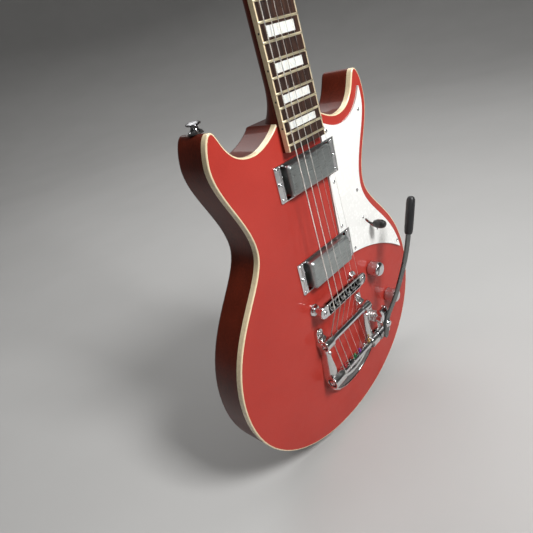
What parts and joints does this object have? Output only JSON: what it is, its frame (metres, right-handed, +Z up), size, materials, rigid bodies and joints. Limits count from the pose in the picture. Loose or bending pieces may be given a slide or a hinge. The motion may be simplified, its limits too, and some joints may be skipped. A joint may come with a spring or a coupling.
{
  "type": "electric guitar",
  "caption": "Double-cutaway solid-body electric guitar with a bound painted top, a horseshoe vibrato bridge, covered pickups and a pitched headstock with geared tuners.",
  "frame": {"origin": "on the body's flat back face, on the centre line, level with the bridge", "axes": "+Z runs up the strings to the headstock, -Y is the front (strings side), +X is the treble side"},
  "size_m": [0.3253, 0.1276, 0.989],
  "materials": {
    "mahogany": "dark stained open grain wood under clear gloss lacquer",
    "coral_paint": "coral red gloss lacquer over wood",
    "cream_plastic": "aged cream plastic, polished",
    "rosewood": "dark oiled fine grained wood",
    "white_plastic": "three-ply white plastic, polished",
    "polished_chrome": "polished chrome plate",
    "cast_aluminium": "polished cast aluminium",
    "brushed_nickel": "matt brushed plating, grain across the guitar",
    "steel": "bare and plated steel",
    "black_plastic": "black plastic, satin"
  },
  "bodies": {
    "guitar": {"body_back": "mahogany", "body_top": "coral_paint", "body_binding": "cream_plastic", "neck": "mahogany", "fretboard": "rosewood", "nut": "cream_plastic", "truss_rod": "steel", "pickguard": "white_plastic", "pickup_ring_neck": "polished_chrome", "pickup_ring_bridge": "polished_chrome", "pickup_cover_neck": "brushed_nickel", "pickup_cover_bridge": "brushed_nickel", "pickup_coils_neck": "black_plastic", "pickup_coils_bridge": "black_plastic", "bridge_body": "polished_chrome", "bridge_post_bass": "polished_chrome", "bridge_post_treble": "polished_chrome", "vibrato_frame": "cast_aluminium", "vibrato_spring": "steel", "pot_volume": "steel", "pot_tone": "steel", "switch_housing": "steel", "output_jack": "polished_chrome", "control_cover": "black_plastic", "strap_button_horn": "polished_chrome", "strap_button_end": "polished_chrome", "tuner_plate_bass": "polished_chrome", "tuner_plate_treble": "polished_chrome", "string_1": "steel", "string_2": "steel", "string_3": "steel", "string_4": "steel", "string_5": "steel", "string_6": "steel"},
    "rocker": {"vibrato_shaft": "polished_chrome", "vibrato_arm_bracket": "polished_chrome"},
    "arm": {"vibrato_arm": "steel", "vibrato_arm_grip": "black_plastic"},
    "roller": {"vibrato_roller": "polished_chrome"},
    "volume_knob": {"knob_volume": "polished_chrome"},
    "tone_knob": {"knob_tone": "polished_chrome"},
    "selector": {"switch_lever": "black_plastic"},
    "saddle_1": {"saddle_1": "polished_chrome"},
    "saddle_2": {"saddle_2": "polished_chrome"},
    "saddle_3": {"saddle_3": "polished_chrome"},
    "saddle_4": {"saddle_4": "polished_chrome"},
    "saddle_5": {"saddle_5": "polished_chrome"},
    "saddle_6": {"saddle_6": "polished_chrome"},
    "tuner_button_1": {"tuner_button_1": "polished_chrome"},
    "tuner_post_1": {"tuner_post_1": "polished_chrome"},
    "tuner_button_2": {"tuner_button_2": "polished_chrome"},
    "tuner_post_2": {"tuner_post_2": "polished_chrome"},
    "tuner_button_3": {"tuner_button_3": "polished_chrome"},
    "tuner_post_3": {"tuner_post_3": "polished_chrome"},
    "tuner_button_6": {"tuner_button_6": "polished_chrome"},
    "tuner_post_6": {"tuner_post_6": "polished_chrome"},
    "tuner_button_5": {"tuner_button_5": "polished_chrome"},
    "tuner_post_5": {"tuner_post_5": "polished_chrome"},
    "tuner_button_4": {"tuner_button_4": "polished_chrome"},
    "tuner_post_4": {"tuner_post_4": "polished_chrome"}
  },
  "joints": [
    {"name": "vibrato_rock", "type": "hinge", "parent": "guitar", "child": "rocker", "pos_m": [0, -0.0545, -0.096], "axis": [-1, 0, 0], "range_deg": [-3, 7], "stiffness_Nm_per_rad": 20, "deforming": ["vibrato_spring"]},
    {"name": "arm_swivel", "type": "hinge", "parent": "rocker", "child": "arm", "pos_m": [0.057, -0.0675, -0.077], "axis": [0, -1, 0], "range_deg": [-150, 25]},
    {"name": "roller_spin", "type": "hinge", "parent": "guitar", "child": "roller", "pos_m": [0, -0.053, -0.045], "axis": [1, 0, 0], "continuous": true},
    {"name": "volume_turn", "type": "hinge", "parent": "guitar", "child": "volume_knob", "pos_m": [0.0779, -0.05, -0.0139], "axis": [0, -1, 0], "range_deg": [-150, 150]},
    {"name": "tone_turn", "type": "hinge", "parent": "guitar", "child": "tone_knob", "pos_m": [0.106, -0.05, -0.07], "axis": [0, -1, 0], "range_deg": [-150, 150]},
    {"name": "selector_throw", "type": "hinge", "parent": "guitar", "child": "selector", "pos_m": [0.09, -0.024, 0.0425], "axis": [0.7314, 0, 0.682], "range_deg": [-20, 20]},
    {"name": "saddle_1_travel", "type": "slide", "parent": "guitar", "child": "saddle_1", "axis": [0, 0, 1], "range_m": [-0.002, 0.002]},
    {"name": "saddle_2_travel", "type": "slide", "parent": "guitar", "child": "saddle_2", "axis": [0, 0, 1], "range_m": [-0.002, 0.002]},
    {"name": "saddle_3_travel", "type": "slide", "parent": "guitar", "child": "saddle_3", "axis": [0, 0, 1], "range_m": [-0.002, 0.002]},
    {"name": "saddle_4_travel", "type": "slide", "parent": "guitar", "child": "saddle_4", "axis": [0, 0, 1], "range_m": [-0.002, 0.002]},
    {"name": "saddle_5_travel", "type": "slide", "parent": "guitar", "child": "saddle_5", "axis": [0, 0, 1], "range_m": [-0.002, 0.002]},
    {"name": "saddle_6_travel", "type": "slide", "parent": "guitar", "child": "saddle_6", "axis": [0, 0, 1], "range_m": [-0.002, 0.002]},
    {"name": "tuner_1_button", "type": "hinge", "parent": "guitar", "child": "tuner_button_1", "pos_m": [-0.03, 0.00128, 0.65625], "axis": [1, 0, 0], "continuous": true},
    {"name": "tuner_1_post", "type": "hinge", "parent": "guitar", "child": "tuner_post_1", "pos_m": [-0.025, -0.01574, 0.66969], "axis": [0, -0.9636, 0.2672], "continuous": true},
    {"name": "tuner_2_button", "type": "hinge", "parent": "guitar", "child": "tuner_button_2", "pos_m": [-0.03, 0.01144, 0.69287], "axis": [1, 0, 0], "continuous": true},
    {"name": "tuner_2_post", "type": "hinge", "parent": "guitar", "child": "tuner_post_2", "pos_m": [-0.025, -0.00559, 0.70631], "axis": [0, -0.9636, 0.2672], "continuous": true},
    {"name": "tuner_3_button", "type": "hinge", "parent": "guitar", "child": "tuner_button_3", "pos_m": [-0.03, 0.02159, 0.72949], "axis": [1, 0, 0], "continuous": true},
    {"name": "tuner_3_post", "type": "hinge", "parent": "guitar", "child": "tuner_post_3", "pos_m": [-0.025, 0.00457, 0.74293], "axis": [0, -0.9636, 0.2672], "continuous": true},
    {"name": "tuner_6_button", "type": "hinge", "parent": "guitar", "child": "tuner_button_6", "pos_m": [0.03, 0.00128, 0.65625], "axis": [1, 0, 0], "continuous": true},
    {"name": "tuner_6_post", "type": "hinge", "parent": "guitar", "child": "tuner_post_6", "pos_m": [0.025, -0.01574, 0.66969], "axis": [0, -0.9636, 0.2672], "continuous": true},
    {"name": "tuner_5_button", "type": "hinge", "parent": "guitar", "child": "tuner_button_5", "pos_m": [0.03, 0.01144, 0.69287], "axis": [1, 0, 0], "continuous": true},
    {"name": "tuner_5_post", "type": "hinge", "parent": "guitar", "child": "tuner_post_5", "pos_m": [0.025, -0.00559, 0.70631], "axis": [0, -0.9636, 0.2672], "continuous": true},
    {"name": "tuner_4_button", "type": "hinge", "parent": "guitar", "child": "tuner_button_4", "pos_m": [0.03, 0.02159, 0.72949], "axis": [1, 0, 0], "continuous": true},
    {"name": "tuner_4_post", "type": "hinge", "parent": "guitar", "child": "tuner_post_4", "pos_m": [0.025, 0.00457, 0.74293], "axis": [0, -0.9636, 0.2672], "continuous": true}
  ],
  "couplings": [
    {"joint": "tuner_1_post", "follows": "tuner_1_button", "ratio": 0.071429},
    {"joint": "tuner_2_post", "follows": "tuner_2_button", "ratio": 0.071429},
    {"joint": "tuner_3_post", "follows": "tuner_3_button", "ratio": 0.071429},
    {"joint": "tuner_6_post", "follows": "tuner_6_button", "ratio": 0.071429},
    {"joint": "tuner_5_post", "follows": "tuner_5_button", "ratio": 0.071429},
    {"joint": "tuner_4_post", "follows": "tuner_4_button", "ratio": 0.071429}
  ]
}
